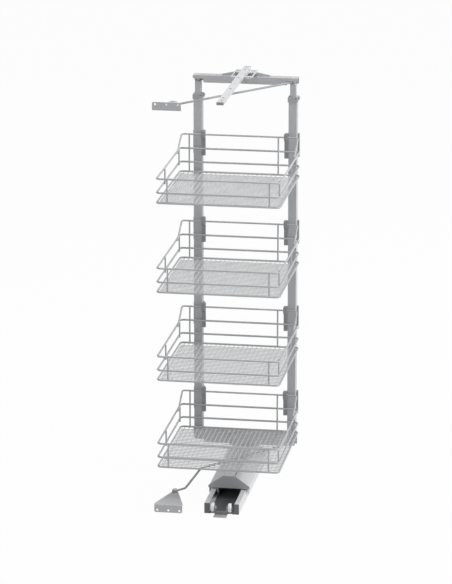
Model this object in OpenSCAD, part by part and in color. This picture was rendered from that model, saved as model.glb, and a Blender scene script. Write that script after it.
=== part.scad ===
// Pull out pantry frame for a tall cabinet with a hinged door.
// A floor runner carries two telescopic posts with four wire baskets, a guide
// keeps the frame upright under the cabinet top, and two arms tie it to the door.
// X runs to the right, Y to the back of the cabinet and Z up. The origin is on the
// cabinet floor, on the runner's centre line, below the baskets' back wire.

/* [Baskets] */
// Basket width between the centre lines of its side wires
basket_w = 350; // [300:1:400]
// Basket depth between the centre lines of its front and back wires
basket_d = 385; // [340:1:410]
// Sideways shift of the baskets from the runner's centre line
basket_shift = -14.5; // [-25:0.5:25]
// Height of the lowest basket's floor wire above the cabinet floor
basket_z = 123; // [118:1:160]
// Height from the top basket's floor wire to the top of the posts
basket_drop = 223.5; // [150:0.5:260]
// Diameter of the wire that makes the rings
ring_d = 5.5; // [5.2:0.1:7]
// Bend radius of the ring corners
ring_corner_r = 11; // [9:1:24]
// Height of the middle ring above the floor ring
mid_ring_h = 29; // [24:0.5:34]
// Height of the upper ring above the floor ring
top_ring_h = 69.5; // [64:0.5:76]
// Height of the back wire above the floor ring
back_wire_h = 111.5; // [105:0.5:120]
// Diameter of the back wire
back_wire_d = 5; // [4:0.1:5.1]
// Forward reach of the back wire's sloping ends
back_wire_reach = 70; // [40:1:90]
// Bend radius of the back wire's corners
back_corner_r = 7; // [6:0.5:14]
// Diameter of the upright bars
bar_d = 4.6; // [4:0.1:5]
// Depth that two welded wires sink into each other
weld_sink = 0.8; // [0.4:0.1:1.2]
// Distance of the front bars from the side wires
front_bar_inset = 30; // [20:1:60]
// Distance of the left back bar from the left side wire
back_bar_left = 28; // [20:1:40]
// Distance of the right back bar from the right side wire
back_bar_right = 61; // [52:1:90]
// Distance of the rear left side bar from the back wire
left_bar_back = 41; // [38:1:60]
// Distance of the front left side bar from the front wire
left_bar_front = 114; // [30:1:140]
// Distance of the rear right side bar from the back wire
right_bar_back = 131; // [80:1:150]
// Distance of the front right side bar from the front wire
right_bar_front = 24; // [20:1:60]
// Diameter of the mesh wire in the basket floor
mesh_wire_d = 2.5; // [2:0.1:3]
// Pitch of the mesh wires
mesh_pitch = 13.5; // [10:0.1:25]

/* [Posts] */
// Distance between the centres of the two posts
post_spacing = 278; // [260:1:300]
// Width of a post
post_w = 24; // [23:0.5:30]
// Depth of a post
post_d = 30; // [29:0.5:40]
// Wall of a post
post_wall = 1.5; // [1:0.1:2]
// Length of a post
post_len = 1011; // [980:1:1300]
// Space between the baskets' back wire and the front of the posts
post_gap = 8; // [7:0.5:12]
// Width of the inner tube
tube_w = 17; // [15:0.5:18]
// Depth of the inner tube
tube_d = 22; // [20:0.5:23]
// Wall of the inner tube
tube_wall = 1.5; // [1:0.1:2]
// Length of inner tube that stays inside the post
tube_insert = 225; // [180:1:300]
// Length of inner tube that shows above the collar
tube_show = 35.5; // [28:0.5:120]
// Height of the collar on a post
collar_h = 14; // [12:0.5:30]
// Length of post that the collar covers
collar_lap = 9.5; // [5:0.5:10]
// Thickness of the collar round the post
collar_wall = 2.4; // [2:0.1:4]

/* [Rails] */
// Height of the bottom rail's underside above the cabinet floor
rail_z = 75; // [74:0.5:85]
// Height of the bottom rail
bottom_rail_h = 39; // [36:1:50]
// Height of the top rail
top_rail_h = 21; // [20:0.5:30]
// Length that both rails reach past the posts
rail_reach = 2; // [1:0.5:10]
// Sheet thickness of both rails
rail_wall = 2; // [1.5:0.1:2.5]
// Half width of the notch that lets an arm swing out of a rail
notch_half = 17; // [17:0.5:22]
// Height of the notch
notch_h = 11.5; // [11:0.5:13]

/* [Hangers] */
// Lowest point of a hanger above its basket's floor ring
hanger_low = 48; // [42:1:56]
// Highest point of a hanger above its basket's floor ring
hanger_high = 122; // [120:1:128]
// Width of the hanger's jaw beside the post
jaw_w = 11; // [9:0.5:13]
// Depth of the hanger's jaw
jaw_d = 9; // [7:0.5:14]
// Thickness of the clip's webs beside and behind the post
web_t = 3.5; // [3:0.5:6]
// Thickness of the clip's strip on the outer side of the post
strip_t = 4.6; // [2:0.1:6]
// Distance of that strip from the front of the post
strip_back = 22; // [1:0.5:25]
// Height that the jaw stands above the clip round the post
clip_drop = 5; // [2:0.5:14]
// Thickness of the lip in front of the back wire
lip_t = 4; // [3:0.5:6]
// Height of the seat under the back wire
seat_h = 8; // [6:0.5:10]

/* [Runner] */
// Half width of the runner over its two tracks
track_out = 50; // [50:0.5:52]
// Width of a track
track_w = 13.5; // [13:0.1:13.8]
// Height of a track
track_h = 30; // [30:0.1:30.6]
// Wall of a track
track_wall = 2; // [1.6:0.1:2.2]
// Thickness of the base plate
base_t = 2.5; // [2:0.1:3]
// Reach of the tracks in front of the back wire
track_front = 409; // [400:1:415]
// Reach of the tracks behind the back wire
track_back = 62; // [58:1:80]
// Half width of the base plate's tongue
tongue_half = 18.5; // [17:0.5:18.5]
// Length of the tongue in front of the tracks
tongue_len = 37; // [33:1:45]
// Height of the wall that joins the tongue's ears
ear_wall_h = 12; // [8:0.5:16]
// Diameter of the front rollers
front_roller_d = 26; // [24:0.1:27]
// Width of the front rollers
front_roller_w = 8.5; // [7:0.1:8.6]
// Height of the front rollers' axle above the floor
front_axle_z = 20.5; // [19.5:0.1:21]
// Reach of that axle in front of the tracks
front_axle_reach = 6; // [5:0.5:12]
// Diameter of the carriage rollers
carriage_roller_d = 22; // [18:0.1:22.2]
// Width of the carriage rollers
carriage_roller_w = 8; // [6:0.1:9]
// Diameter of all roller axles
axle_d = 6; // [5:0.1:7]
// Half width of the carriage channel
channel_half = 33.5; // [33:0.1:33.7]
// Sheet thickness of the carriage channel
channel_t = 2.5; // [2:0.1:2.6]
// Depth of the carriage channel's sides
channel_side = 28; // [27:0.5:29]
// Half width of the hood
hood_half = 58.8; // [58:0.2:70]
// Lower edge of the hood
hood_low = 17; // [10:0.5:24]
// Height of the hood's shoulder
hood_shoulder = 38; // [37:0.5:48]
// Height of the hood's flat top
hood_top = 68; // [66:0.5:69]
// Half width of the hood's flat top
hood_flat = 17.5; // [15:0.5:18.5]
// Wall of the hood
hood_wall = 2.5; // [2:0.1:3]
// Reach of the hood in front of the back wire
hood_front = 277; // [260:1:300]
// Reach of the hood behind the back wire
hood_back = 60; // [56:1:75]
// Thickness of the hood's end caps
cap_t = 4; // [3:0.5:6]

/* [Guide] */
// Height of the guide bracket on the top rail
guide_rise = 12; // [9:0.5:20]
// Half width of the guide bracket's foot
guide_foot = 70; // [55:1:80]
// Height of the guide bracket's web at its outer ends
guide_tip = 4; // [2.5:0.5:8]
// Half width of the guide plate
guide_half = 32; // [27:0.5:40]
// Reach of the guide plate in front of the back wire
guide_front = 60; // [55:1:80]
// Reach of the guide plate behind the back wire
guide_back = 44; // [40:1:55]
// Sheet thickness of the guide bracket and plate
guide_t = 2; // [1.5:0.1:2.5]
// Width of the ceiling rail
ceiling_w = 20; // [19:0.5:26]
// Height of the ceiling rail
ceiling_h = 8; // [7.5:0.1:12]
// Sheet thickness of the ceiling rail
ceiling_t = 1.4; // [1:0.1:1.6]
// Reach of the ceiling rail in front of the back wire
ceiling_front = 432; // [420:1:450]
// Reach of the ceiling rail behind the back wire
ceiling_back = 48; // [46:1:60]
// Width of the slot under the ceiling rail
ceiling_slot = 8; // [7:0.5:10]

/* [Door arms] */
// Diameter of the arm rod
rod_d = 6; // [5:0.5:7]
// Diameter of the arm's eyes
eye_d = 16; // [14:0.5:18]
// Height of the arm's eyes
eye_h = 7; // [7:0.5:8]
// Diameter of the pivot pins
pin_d = 8; // [7:0.5:9]
// Distance of the door plane from the baskets' front wire
door_gap = 54; // [50:1:70]
// Sideways place of the door brackets
bracket_x = -150; // [-165:1:-120]
// Depth of a door bracket from the door plane to its pivot
bracket_depth = 110; // [100:1:115]
// Width of a door bracket
bracket_w = 81; // [78:1:100]
// Height of a door bracket's flange
flange_h = 24; // [22:0.5:25]
// Sheet thickness of a door bracket
bracket_t = 2.5; // [2:0.1:3]
// Radius of the bracket's nose round the pivot
nose_r = 10; // [9:0.5:14]
// Pitch of the screw holes in a door bracket
hole_pitch = 32; // [32:1:32]
// Diameter of the screw holes in a door bracket
hole_d = 6.5; // [5:0.5:7]
// Distance of the screw holes from the flange's free edge
hole_edge = 6.3; // [6:0.1:9]
// Height of the lower bracket's plate above the cabinet floor
low_plate_z = 28.8; // [28:0.2:34]
// Height of the arm's pivot above the underside of the bottom rail
arm_lift = 5; // [5:0.5:7]
// Spacer between the upper arm's eye and its bracket
bracket_spacer = 3.7; // [2:0.1:6]
// Length of the lower arm's low end
crank_low = 40; // [30:1:60]
// Length over which the lower arm rises
crank_rise = 60; // [45:1:80]
// Bend radius of the arm rod
rod_bend_r = 14; // [10:1:20]

/* [Clearances] */
// Gap between a moving piece and what it runs on
run_gap = 0.3; // [0.2:0.05:0.4]
// Gap round a pin in its bore
pin_gap = 0.05; // [0.03:0.01:0.09]
// Gap between two fitted pieces of one assembly
fit_gap = 0.1; // [0.05:0.01:0.15]
// Gap between the two layers of mesh wire
mesh_gap = 0.05; // [0.05:0.01:0.1]

/* [Hidden] */
$fn = 48;
eps = 0.01;
basket_total = 4;
silver = "#a9aaac";
bright = "#d9dadc";
zinc = "#e6e7e8";
dark_plastic = "#66676a";
dark_steel = "#39393b";
white_plastic = "#f2f2f2";
// Places of the posts and rails
post_x = post_spacing / 2;
post_y = post_gap + post_d / 2;
rail_half = post_x + post_w / 2 + rail_reach;
post_z = rail_z + bottom_rail_h;
post_top = post_z + post_len;
collar_z = post_top - collar_lap;
collar_top = collar_z + collar_h;
basket_pitch = (post_top - basket_drop - basket_z) / (basket_total - 1);
top_rail_z = collar_top + tube_show;
top_rail_top = top_rail_z + top_rail_h;
tube_top = top_rail_z + 1;
tube_cap_t = 3;
// Pivot pins: a broad washer head, the eye and a shoulder under the rail's sheet
washer_d = 20;
washer_t = 2.2;
shoulder_d = 14;
eye_bore_r = pin_d / 2 + pin_gap;
arm_high_z = rail_z + arm_lift;
arm_low_z = low_plate_z + run_gap + eye_h / 2;
top_arm_z = tube_top + washer_t + run_gap + eye_h / 2;
top_plate_z = top_arm_z + eye_h / 2 + run_gap + bracket_spacer;
// Plan of the arms, from the pivot on the right post to the pivot on a door bracket
door_y = -basket_d - door_gap;
arm_dx = bracket_x - post_x;
arm_dy = door_y + bracket_depth - post_y;
arm_len = norm([arm_dx, arm_dy]);
arm_turn = atan2(arm_dy, arm_dx);
crank_slope = atan2(arm_high_z - arm_low_z, crank_rise);
crank_trim = rod_bend_r * tan(crank_slope / 2);
// A bend is drawn a hair thinner than the rod and laps into both straight pieces
bend_thin = 0.02;
bend_lap = 1.5;
rivet_head_d = 14;
rivet_head_t = 2;
rivet_cap_t = 2.5;
fold_r = bracket_t + 1;
flange_corner_r = 5;
bracket_neck = 6;
// Runner
track_in = track_out - track_w;
track_floor = base_t + track_wall;
roller_x = tongue_half + run_gap * 6 + front_roller_w / 2;
front_axle_y = -track_front - front_axle_reach;
ear_t = 2;
ear_half_len = 10;
axle_head_t = 1.2;
axle_head_d = axle_d + 4;
channel_z = front_axle_z + front_roller_d / 2 + run_gap;
channel_top = channel_z + channel_t;
channel_front = hood_front - cap_t - run_gap * 10;
channel_back = hood_back - cap_t - run_gap * 10;
carriage_axle_z = track_floor + run_gap + carriage_roller_d / 2;
carriage_axle_y = channel_back - 17;
carriage_roller_x = channel_half + 2;
end_plug = 12;
end_cap_t = 3;
end_foot_w = 5;
end_foot_h = 7;
shoe_len = 22;
shoe_lip = 5;
shoe_t = 4;
shoe_drop = 14;
rivet_d = 4;
rivet_y = [-track_front + 40, -track_front / 2 + track_back / 2, track_back - 20];
floor_hole_d = 5.2;
floor_hole_x = 10;
floor_hole_y = [-track_front + 24, track_back - 22];
slot_l = 14;
// Hood section
hood_pitch = atan2(hood_top - hood_shoulder, hood_half - hood_flat);
hood_in_half = hood_half - hood_wall;
hood_in_top = hood_top - hood_wall;
hood_slope_drop = hood_wall / cos(hood_pitch);
hood_in_shoulder = hood_shoulder + hood_wall * tan(hood_pitch) - hood_slope_drop;
hood_in_flat = hood_half - (hood_in_top - hood_shoulder + hood_slope_drop) / tan(hood_pitch);
groove_w = 2.4;
groove_t = 1.8;
cap_low = track_h + 3;
cap_rim = 1.5;
block_half = hood_in_flat - 1;
block_len = 26;
front_block_y = -hood_front + 50;
// Saddle between the hood and the bottom rail
saddle_half = 45;
saddle_t = 4;
saddle_wall = 3;
saddle_top = post_z - rail_wall - 6;
bolt_d = 8;
bolt_head_d = 13;
bolt_head_t = 5;
bolt_nut_t = 6.5;
bolt_x = bolt_head_d / 2 + run_gap;
rail_screw_d = 5;
rail_screw_x = 29;
rail_screw_z = rail_z + bottom_rail_h * 0.64;
rail_screw_head_d = 9;
rail_screw_head_t = 2.5;
// Collar screw
screw_d = 3.6;
screw_x = tube_w / 2 + 0.5;
collar_ring_z = post_top;
screw_z = (post_top + collar_top) / 2;
// Guide and ceiling rail
guide_z = top_rail_top + guide_rise;
guide_top = guide_z + guide_t;
ceiling_z = guide_top + run_gap;
ceiling_top = ceiling_z + ceiling_h;
guide_roller_d = ceiling_w - 2 * ceiling_t - 2 * run_gap;
guide_roller_h = ceiling_h - 2 * ceiling_t - 2 * run_gap - 0.2;
guide_roller_z = ceiling_z + ceiling_t + run_gap;
guide_pin_d = 6;
guide_pin_y = [-guide_front + 14, guide_back - 14];
guide_web_y = post_y - guide_t / 2;
guide_lip = 5;
window_in = ceiling_w / 2 + 1.5;
window_out = guide_half - 4.5;
stop_t = 5;
ceiling_hole_d = 6.5;
ceiling_pair = 32;
ceiling_holes = [ceiling_back - 11, ceiling_back - 11 - ceiling_pair, -110, -256,
                 -ceiling_front + 23 + ceiling_pair, -ceiling_front + 23];
// Hangers and basket wires
wire_gap = back_wire_d / 2 + run_gap;
jaw_front = ring_d / 2 + run_gap;
hook_seat = back_wire_h - wire_gap;
bar_offset = (ring_d + bar_d) / 2 - weld_sink;
bar_over = 2;
back_half = basket_w / 2 - (ring_d + back_wire_d) / 2 + weld_sink;
back_slope = atan2(back_wire_h - top_ring_h, back_wire_reach);
back_leg = norm([back_wire_h - top_ring_h, back_wire_reach]);
mesh_margin = max(ring_corner_r, ring_d / 2 + bar_d) + mesh_wire_d / 2;
mesh_across = floor((basket_w - 2 * mesh_margin) / mesh_pitch);
mesh_along = floor((basket_d - 2 * mesh_margin) / mesh_pitch);
mesh_layer = mesh_wire_d + mesh_gap;
mesh_drop = mesh_layer / 2;

// A box given by its lowest and highest corner
module span_box(low, high) {
  translate(low)
    cube(high - low);
}

// A straight wire along X, Y or Z from a starting point
module wire_x(start, length, d) {
  translate(start)
    rotate([0, 90, 0])
      cylinder(d = d, h = length);
}

module wire_y(start, length, d) {
  translate(start)
    rotate([-90, 0, 0])
      cylinder(d = d, h = length);
}

module wire_z(start, length, d) {
  translate(start)
    cylinder(d = d, h = length);
}

// A bent stretch of round wire in the XY plane about the origin
module wire_bend(r, from, sweep, d) {
  rotate([0, 0, from])
    rotate_extrude(angle = sweep)
      translate([r, 0])
        circle(d = d);
}

// A profile in X and Z carried along Y
module along_y(from, to) {
  translate([0, to, 0])
    rotate([90, 0, 0])
      linear_extrude(height = to - from)
        children();
}

// A profile in Y and Z carried along X
module along_x(from, to) {
  translate([from, 0, 0])
    rotate([90, 0, 90])
      linear_extrude(height = to - from)
        children();
}

// A rectangular tube standing on Z, centred on the Z axis
module box_tube(w, d, wall, z0, z1) {
  difference() {
    span_box([-w / 2, -d / 2, z0], [w / 2, d / 2, z1]);
    span_box([wall - w / 2, wall - d / 2, z0 - 1], [w / 2 - wall, d / 2 - wall, z1 + 1]);
  }
}

// Both sides of the runner or frame
module pair() {
  children();
  mirror([1, 0, 0])
    children();
}

// Base plate of the runner with its tongue and the ears that hold the front rollers
module runner_base() {
  color(dark_steel)
    difference() {
      union() {
        span_box([-track_out + track_wall + fit_gap, -track_front, 0],
                 [track_out - track_wall - fit_gap, track_back, base_t]);
        span_box([-tongue_half, -track_front - tongue_len, 0], [tongue_half, -track_front + eps, base_t]);
        pair() span_box([tongue_half - ear_t, front_axle_y - ear_half_len, 0],
                        [tongue_half, front_axle_y + ear_half_len, front_axle_z + axle_d]);
        span_box([-tongue_half, front_axle_y - ear_half_len / 2 - ear_t, 0],
                 [tongue_half, front_axle_y - ear_half_len / 2, ear_wall_h]);
      }
      for (y = floor_hole_y, x = [-floor_hole_x, floor_hole_x])
        wire_z([x, y, -1], base_t + 2, floor_hole_d);
      pair() for (y = rivet_y)
        wire_z([track_in + track_w / 2, y, -1], base_t + 2, rivet_d + 2 * pin_gap);
      pair() wire_x([tongue_half - ear_t - 1, front_axle_y, front_axle_z], ear_t + 2, axle_d + 2 * pin_gap);
      tongue_slot();
    }
}

// Slot across the tongue for the front floor screw
module tongue_slot() {
  slot_y = -track_front - tongue_len + 8;
  slot_half = (slot_l - floor_hole_d) / 2;
  for (x = [-slot_half, slot_half])
    wire_z([x, slot_y, -1], base_t + 2, floor_hole_d);
  span_box([-slot_half, slot_y - floor_hole_d / 2, -1], [slot_half, slot_y + floor_hole_d / 2, base_t + 1]);
}

// C-shaped aluminium track, open to the middle of the runner
module right_track() {
  color(bright)
    difference() {
      along_y(-track_front, track_back)
        polygon([
          [track_in, base_t], [track_out - track_wall, base_t], [track_out - track_wall, 0], [track_out, 0],
          [track_out, track_h], [track_in, track_h], [track_in, track_h - track_wall],
          [track_out - track_wall, track_h - track_wall], [track_out - track_wall, track_floor],
          [track_in, track_floor]
        ]);
      for (y = rivet_y)
        wire_z([track_in + track_w / 2, y, base_t - 1], track_wall + 2, rivet_d + 2 * pin_gap);
    }
}

module left_track() {
  mirror([1, 0, 0])
    right_track();
}

// Moulded plugs in the four ends of the tracks
module track_end_caps() {
  color(dark_plastic)
    pair() {
      end_cap(-track_front - end_cap_t, -track_front, -track_front + end_plug);
      end_cap(track_back, track_back + end_cap_t, track_back - end_plug);
    }
}

// One track plug: an outer plate from y0 to y1 and a plug that reaches to y2
module end_cap(y0, y1, y2) {
  span_box([track_in, y0, 0], [track_out, y1, track_h]);
  span_box([track_in - end_foot_w, y0, 0], [track_in + eps, y1, end_foot_h]);
  span_box([track_in + fit_gap, min(y1, y2) - eps * (y2 > y1 ? 1 : 0), track_floor + fit_gap],
           [track_out - track_wall - fit_gap, max(y0, y2) + eps * (y2 > y1 ? 0 : 1), track_h - track_wall - fit_gap]);
}

// Flush rivets that hold the tracks on the base plate
module track_rivets() {
  color(silver)
    pair() for (y = rivet_y)
      wire_z([track_in + track_w / 2, y, fit_gap], track_floor - 2 * fit_gap, rivet_d);
}

// Stub axles of the front rollers, riveted in the ears of the tongue
module front_axles() {
  color(bright)
    pair() {
      wire_x([tongue_half - ear_t - axle_head_t, front_axle_y, front_axle_z],
             roller_x + front_roller_w / 2 + run_gap + axle_head_t - (tongue_half - ear_t - axle_head_t), axle_d);
      wire_x([tongue_half - ear_t - axle_head_t, front_axle_y, front_axle_z], axle_head_t, axle_head_d);
      wire_x([tongue_half, front_axle_y, front_axle_z], roller_x - front_roller_w / 2 - run_gap - tongue_half,
             axle_head_d);
      wire_x([roller_x + front_roller_w / 2 + run_gap, front_axle_y, front_axle_z], axle_head_t, axle_head_d);
    }
}

// A roller about the X axis, with relieved edges and a recessed side
module roller(x, w, d) {
  edge = 1;
  dish = 1.2;
  translate([x - w / 2, 0, 0])
    rotate([90, 0, 90])
      rotate_extrude()
        polygon([
          [axle_d / 2 + pin_gap, 0], [axle_d / 2 + 2.5, 0], [axle_d / 2 + 3, dish], [d / 2 - 3, dish],
          [d / 2 - 2.5, 0], [d / 2 - edge, 0], [d / 2, edge], [d / 2, w - edge], [d / 2 - edge, w],
          [d / 2 - 2.5, w], [d / 2 - 3, w - dish], [axle_d / 2 + 3, w - dish], [axle_d / 2 + 2.5, w],
          [axle_d / 2 + pin_gap, w]
        ]);
}

// White rollers at the front of the runner that carry the pulled-out carriage
module front_rollers() {
  color(white_plastic)
    translate([0, front_axle_y, front_axle_z])
      pair() roller(roller_x, front_roller_w, front_roller_d);
}

// Outline of the hood from its lower edge on the right round to the left
function hood_outline(half, low, shoulder, flat, top) =
  [[half, low], [half, shoulder], [flat, top], [-flat, top], [-half, shoulder], [-half, low]];

// Extruded aluminium hood over the carriage, with a groove beside its flat top
module runner_hood() {
  color(bright)
    difference() {
      along_y(-hood_front, hood_back)
        polygon(concat(
          hood_outline(hood_half, hood_low, hood_shoulder, hood_flat, hood_top),
          [for (p = hood_outline(hood_in_half, hood_low, hood_in_shoulder, hood_in_flat, hood_in_top))
            [-p[0], p[1]]]
        ));
      span_box([hood_flat - groove_w, -hood_front - 1, hood_top - groove_t],
               [hood_flat, hood_back + 1, hood_top + 1]);
      for (x = [-bolt_x, bolt_x])
        wire_z([x, post_y, hood_in_top - 1], hood_wall + 2, bolt_d + 2 * fit_gap);
    }
}

// Moulded end cap of the hood: a face plate and a plug, y grows into the hood
module hood_cap() {
  face = hood_outline(hood_half + cap_rim, cap_low, hood_shoulder + cap_rim, hood_flat, hood_top + cap_rim);
  plug = hood_outline(hood_in_half - fit_gap, cap_low, hood_in_shoulder - fit_gap, hood_in_flat,
                      hood_in_top - 2 * fit_gap);
  along_y(-cap_t, 0)
    polygon(face);
  along_y(-eps, cap_t)
    polygon(plug);
}

module hood_front_cap() {
  color(dark_plastic)
    translate([0, -hood_front, 0])
      hood_cap();
}

module hood_rear_cap() {
  color(dark_plastic)
    translate([0, hood_back, 0])
      mirror([0, 1, 0])
        hood_cap();
}

// Folded steel channel inside the hood: it rolls over the front rollers and its
// sides hold the carriage rollers that run in the tracks
module carriage_channel() {
  color(dark_steel)
    difference() {
      span_box([-channel_half, -channel_front, channel_top - channel_side], [channel_half, channel_back, channel_top]);
      span_box([channel_t - channel_half, -channel_front - 1, channel_top - channel_side - 1],
               [channel_half - channel_t, channel_back + 1, channel_z]);
      for (x = [-bolt_x, bolt_x])
        wire_z([x, post_y, channel_z - 1], channel_t + 2, bolt_d + 2 * fit_gap);
      pair() wire_x([channel_half - channel_t - 1, carriage_axle_y, carriage_axle_z], channel_t + 2,
                    axle_d + 2 * pin_gap);
    }
}

// Nylon shoes that slide along the inner edges of the tracks
module guide_shoes() {
  color(bright)
    pair()
      translate([0, -channel_front, 0]) {
        span_box([channel_half, 0, track_h + run_gap], [track_in + shoe_lip, shoe_len, track_h + run_gap + shoe_t]);
        span_box([channel_half, 0, track_h + run_gap - shoe_drop],
                 [track_in - run_gap, shoe_len, track_h + run_gap + eps]);
      }
}

// Spacer blocks between the carriage channel and the hood's flat top
module hood_blocks() {
  color(silver) {
    difference() {
      span_box([-block_half, post_y - block_len / 2, channel_top], [block_half, post_y + block_len / 2, hood_in_top]);
      for (x = [-bolt_x, bolt_x])
        wire_z([x, post_y, channel_top - 1], hood_in_top - channel_top + 2, bolt_d + 2 * fit_gap);
    }
    span_box([-block_half, front_block_y, channel_top], [block_half, front_block_y + block_len, hood_in_top]);
  }
}

// Axles of the carriage rollers, riveted in the sides of the channel
module carriage_axles() {
  color(silver)
    pair() {
      wire_x([channel_half - channel_t - axle_head_t, carriage_axle_y, carriage_axle_z],
             carriage_roller_x + carriage_roller_w + run_gap + axle_head_t
             - (channel_half - channel_t - axle_head_t), axle_d);
      wire_x([channel_half - channel_t - axle_head_t, carriage_axle_y, carriage_axle_z], axle_head_t, axle_head_d);
      wire_x([channel_half, carriage_axle_y, carriage_axle_z], carriage_roller_x - channel_half - run_gap,
             axle_head_d);
      wire_x([carriage_roller_x + carriage_roller_w + run_gap, carriage_axle_y, carriage_axle_z], axle_head_t,
             axle_head_d);
    }
}

module carriage_rollers() {
  color(white_plastic)
    translate([0, carriage_axle_y, carriage_axle_z])
      pair() roller(carriage_roller_x + carriage_roller_w / 2, carriage_roller_w, carriage_roller_d);
}

// Folded saddle that stands on the hood inside the bottom rail
module carriage_saddle() {
  saddle_front = post_gap + rail_wall + fit_gap;
  saddle_back = post_gap + post_d - rail_wall - fit_gap;
  color(silver)
    difference() {
      span_box([-saddle_half, saddle_front, hood_top], [saddle_half, saddle_back, saddle_top]);
      span_box([-saddle_half - 1, saddle_front + saddle_wall, hood_top + saddle_t],
               [saddle_half + 1, saddle_back - saddle_wall, saddle_top + 1]);
      for (x = [-bolt_x, bolt_x])
        wire_z([x, post_y, hood_top - 1], saddle_t + 2, bolt_d + 2 * fit_gap);
      for (x = [-rail_screw_x, rail_screw_x])
        wire_y([x, saddle_front - 1, rail_screw_z], saddle_wall + 2, rail_screw_d + 2 * fit_gap);
    }
}

// Two bolts through saddle, hood, block and channel, each with its nut
module saddle_bolts() {
  color(zinc)
    for (x = [-bolt_x, bolt_x])
      translate([x, post_y, 0]) {
        wire_z([0, 0, channel_z - bolt_nut_t], hood_top + saddle_t + bolt_head_t - channel_z + bolt_nut_t, bolt_d);
        wire_z([0, 0, hood_top + saddle_t], bolt_head_t, bolt_head_d);
        translate([0, 0, channel_z - bolt_nut_t])
          cylinder(d = bolt_head_d, h = bolt_nut_t, $fn = 6);
      }
}

// Pan-head screws that fix the bottom rail to the saddle
module rail_screws() {
  color(zinc)
    for (x = [-rail_screw_x, rail_screw_x])
      translate([x, post_gap, rail_screw_z]) {
        wire_y([0, -rail_screw_head_t, 0], rail_screw_head_t + rail_wall + saddle_wall + 2, rail_screw_d);
        wire_y([0, -rail_screw_head_t, 0], rail_screw_head_t, rail_screw_head_d);
      }
}

// Folded rail, open below, with a notch in its front sheet at each post
module folded_rail(z0, h, hole_x) {
  difference() {
    span_box([-rail_half, post_gap, z0], [rail_half, post_gap + post_d, z0 + h]);
    span_box([-rail_half - 1, post_gap + rail_wall, z0 - 1],
             [rail_half + 1, post_gap + post_d - rail_wall, z0 + h - rail_wall]);
    for (side = [-1, 1])
      translate([side * post_x, 0, 0])
        span_box([-notch_half, post_gap - 1, z0 - 1], [notch_half, post_gap + rail_wall + eps, z0 + notch_h]);
    for (x = hole_x)
      wire_z([x, post_y, z0 + h - rail_wall - 1], rail_wall + 2, pin_d + 2 * pin_gap);
  }
}

module bottom_rail() {
  color(silver)
    difference() {
      folded_rail(rail_z, bottom_rail_h, [post_x]);
      for (x = [-rail_screw_x, rail_screw_x])
        wire_y([x, post_gap - 1, rail_screw_z], rail_wall + 2, rail_screw_d + 2 * fit_gap);
    }
}

module top_rail() {
  color(silver)
    folded_rail(top_rail_z, top_rail_h, [-post_x, post_x]);
}

// Outer tube of a post, standing on the bottom rail
module post(side) {
  color(silver)
    translate([side * post_x, post_y, 0])
      box_tube(post_w, post_d, post_wall, post_z, post_top);
}

// Moulded collar that closes the post and guides the inner tube, with a screw boss
module collar(side) {
  out_w = post_w + 2 * collar_wall;
  out_d = post_d + 2 * collar_wall;
  ear_w = 4;
  ear_d = 16;
  color(dark_plastic)
    translate([side * post_x, post_y, 0])
      difference() {
        union() {
          span_box([-out_w / 2, -out_d / 2, collar_z], [out_w / 2, out_d / 2, collar_top]);
          span_box([out_w / 2 - eps, -ear_d / 2, collar_top - collar_h / 2], [out_w / 2 + ear_w, ear_d / 2, collar_top]);
        }
        span_box([-post_w / 2 - fit_gap, -post_d / 2 - fit_gap, collar_z - 1],
                 [post_w / 2 + fit_gap, post_d / 2 + fit_gap, post_top]);
        span_box([-tube_w / 2 - run_gap, -tube_d / 2 - run_gap, collar_z],
                 [tube_w / 2 + run_gap, tube_d / 2 + run_gap, collar_top + 1]);
        wire_y([screw_x, -out_d / 2 - 1, screw_z], out_d / 2 - tube_d / 2 + 1, screw_d + 2 * pin_gap);
      }
}

// Grub screws in the collars that clamp the inner tubes
module collar_screws() {
  out_d = post_d + 2 * collar_wall;
  sink = 0.6;
  color(dark_steel)
    for (side = [-1, 1])
      translate([side * post_x + screw_x, post_y - out_d / 2 + sink, screw_z])
        difference() {
          wire_y([0, 0, 0], out_d / 2 - tube_d / 2 - sink - run_gap, screw_d);
          translate([0, -1, 0])
            rotate([-90, 0, 0])
              cylinder(d = screw_d / 2, h = 3, $fn = 6);
        }
}

// Shouldered pin on which an arm turns, riveted into a rail's top sheet
module pivot_pin(low, eye_low, sheet_low, sheet_top) {
  eye_top = eye_low + eye_h + run_gap;
  wire_z([0, 0, low], sheet_top - low, pin_d);
  wire_z([0, 0, eye_low - run_gap - washer_t], washer_t, washer_d);
  wire_z([0, 0, eye_top], sheet_low - eye_top, shoulder_d);
}

module bottom_pivot_pin() {
  color(bright)
    translate([post_x, post_y, 0])
      pivot_pin(arm_high_z - eye_h / 2 - run_gap - washer_t, arm_high_z - eye_h / 2, post_z - rail_wall, post_z);
}

module top_pivot_pins() {
  color(bright)
    for (side = [-1, 1])
      translate([side * post_x, post_y, 0])
        pivot_pin(tube_top - tube_cap_t, top_arm_z - eye_h / 2, top_rail_top - rail_wall, top_rail_top);
}

// Inner tube of a telescopic post, with a welded cap that holds the pivot pin
module inner_tube(side) {
  color(silver)
    translate([side * post_x, post_y, 0])
      difference() {
        span_box([-tube_w / 2, -tube_d / 2, post_top - tube_insert], [tube_w / 2, tube_d / 2, tube_top]);
        span_box([tube_wall - tube_w / 2, tube_wall - tube_d / 2, post_top - tube_insert - 1],
                 [tube_w / 2 - tube_wall, tube_d / 2 - tube_wall, tube_top - tube_cap_t]);
        wire_z([0, 0, tube_top - tube_cap_t - 1], tube_cap_t + 2, pin_d + 2 * pin_gap);
      }
}

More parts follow.
